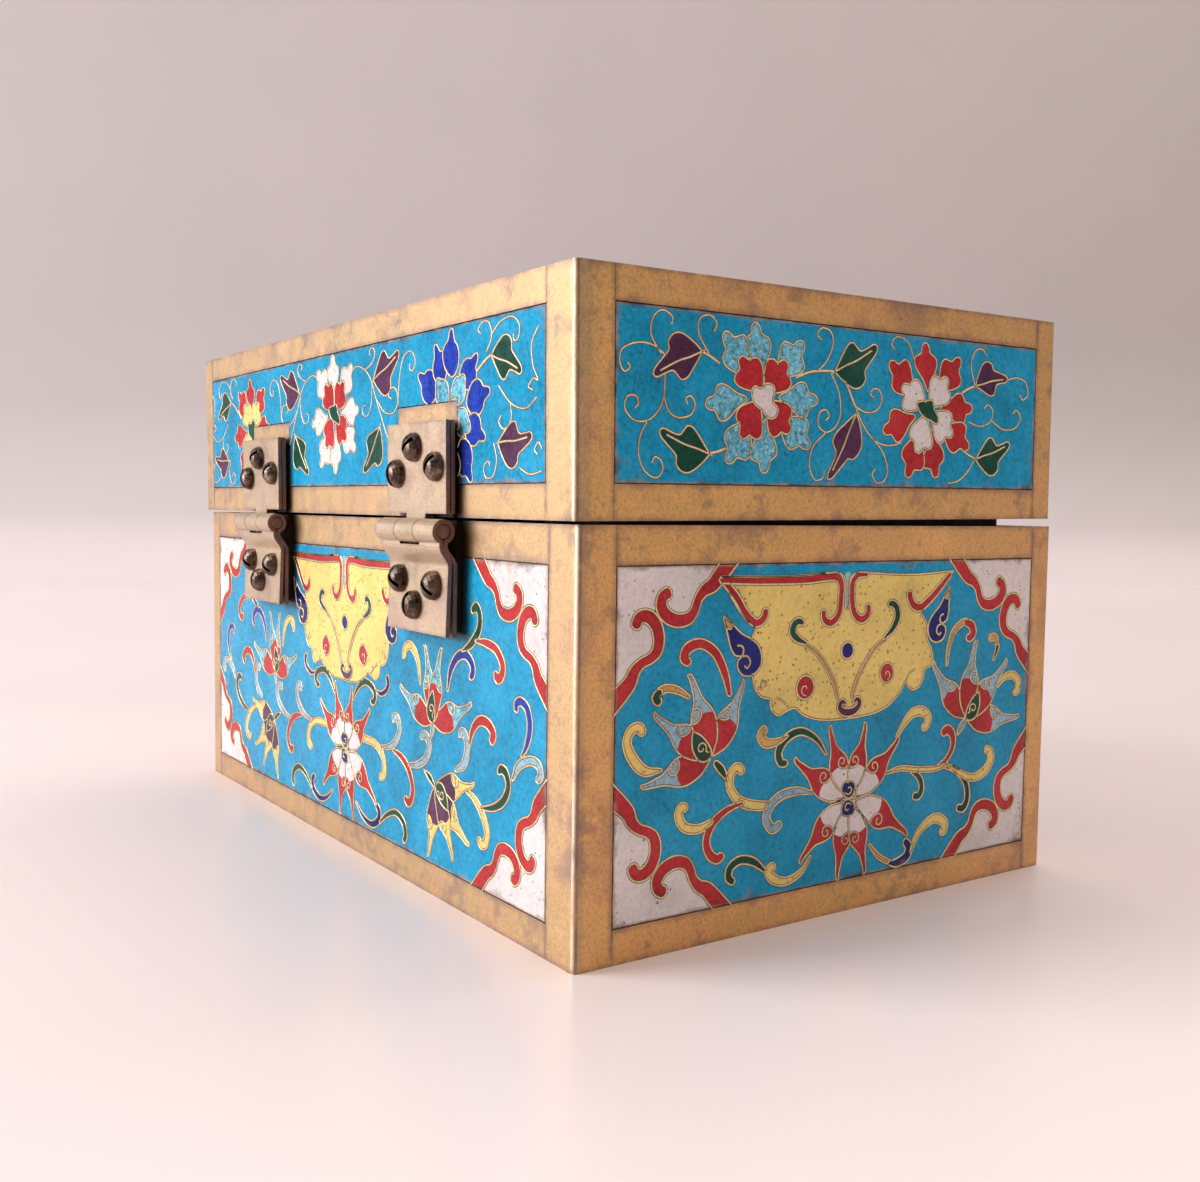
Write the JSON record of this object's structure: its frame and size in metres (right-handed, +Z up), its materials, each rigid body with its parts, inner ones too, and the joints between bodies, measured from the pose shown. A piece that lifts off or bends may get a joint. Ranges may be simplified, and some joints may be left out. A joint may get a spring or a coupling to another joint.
{
  "type": "cloisonne enamel box with hinged lid",
  "caption": "Oblong box with cloisonne enamel panels in a flush brass frame, its lid hung on strap hinges screwed to the back.",
  "frame": {"origin": "centre of the base's underside, on the surface the box stands on", "axes": "+Z up; +Y to the back, where the hinges are; +X along the long side"},
  "size_m": [0.1536, 0.1042, 0.0949],
  "materials": {
    "frame_brass": "satin",
    "sheet_brass": "satin",
    "hinge_brass": "satin",
    "dark_screw": "satin",
    "enamel": "gloss"
  },
  "bodies": {
    "base": {"base_case": "sheet_brass", "base_corner_back_left": "frame_brass", "base_corner_back_right": "frame_brass", "base_corner_front_left": "frame_brass", "base_corner_front_right": "frame_brass", "base_enamel_back": "enamel", "base_enamel_front": "enamel", "base_enamel_left": "enamel", "base_enamel_right": "enamel", "base_lip_left": "sheet_brass", "base_lip_right": "sheet_brass", "base_rail_back_bottom": "frame_brass", "base_rail_back_top": "frame_brass", "base_rail_front_bottom": "frame_brass", "base_rail_front_top": "frame_brass", "base_rail_left_bottom": "frame_brass", "base_rail_left_top": "frame_brass", "base_rail_right_bottom": "frame_brass", "base_rail_right_top": "frame_brass", "hinge_left_base_leaf": "hinge_brass", "hinge_left_base_screw_1": "dark_screw", "hinge_left_base_screw_2": "dark_screw", "hinge_left_base_screw_3": "dark_screw", "hinge_left_pin": "hinge_brass", "hinge_right_base_leaf": "hinge_brass", "hinge_right_base_screw_1": "dark_screw", "hinge_right_base_screw_2": "dark_screw", "hinge_right_base_screw_3": "dark_screw", "hinge_right_pin": "hinge_brass"},
    "lid": {"hinge_left_lid_leaf": "hinge_brass", "hinge_left_lid_screw_1": "dark_screw", "hinge_left_lid_screw_2": "dark_screw", "hinge_left_lid_screw_3": "dark_screw", "hinge_right_lid_leaf": "hinge_brass", "hinge_right_lid_screw_1": "dark_screw", "hinge_right_lid_screw_2": "dark_screw", "hinge_right_lid_screw_3": "dark_screw", "lid_case": "sheet_brass", "lid_corner_back_left": "frame_brass", "lid_corner_back_right": "frame_brass", "lid_corner_front_left": "frame_brass", "lid_corner_front_right": "frame_brass", "lid_enamel_back": "enamel", "lid_enamel_front": "enamel", "lid_enamel_left": "enamel", "lid_enamel_right": "enamel", "lid_enamel_top": "enamel", "lid_rail_back_bottom": "frame_brass", "lid_rail_back_top": "frame_brass", "lid_rail_front_bottom": "frame_brass", "lid_rail_front_top": "frame_brass", "lid_rail_left_bottom": "frame_brass", "lid_rail_left_top": "frame_brass", "lid_rail_right_bottom": "frame_brass", "lid_rail_right_top": "frame_brass", "lid_top_frame": "frame_brass"}
  },
  "joints": [
    {"name": "lid_hinge", "type": "hinge", "parent": "base", "child": "lid", "pos_m": [0, 0.05295, 0.05835], "axis": [-1, 0, 0], "range_deg": [0, 150]}
  ]
}
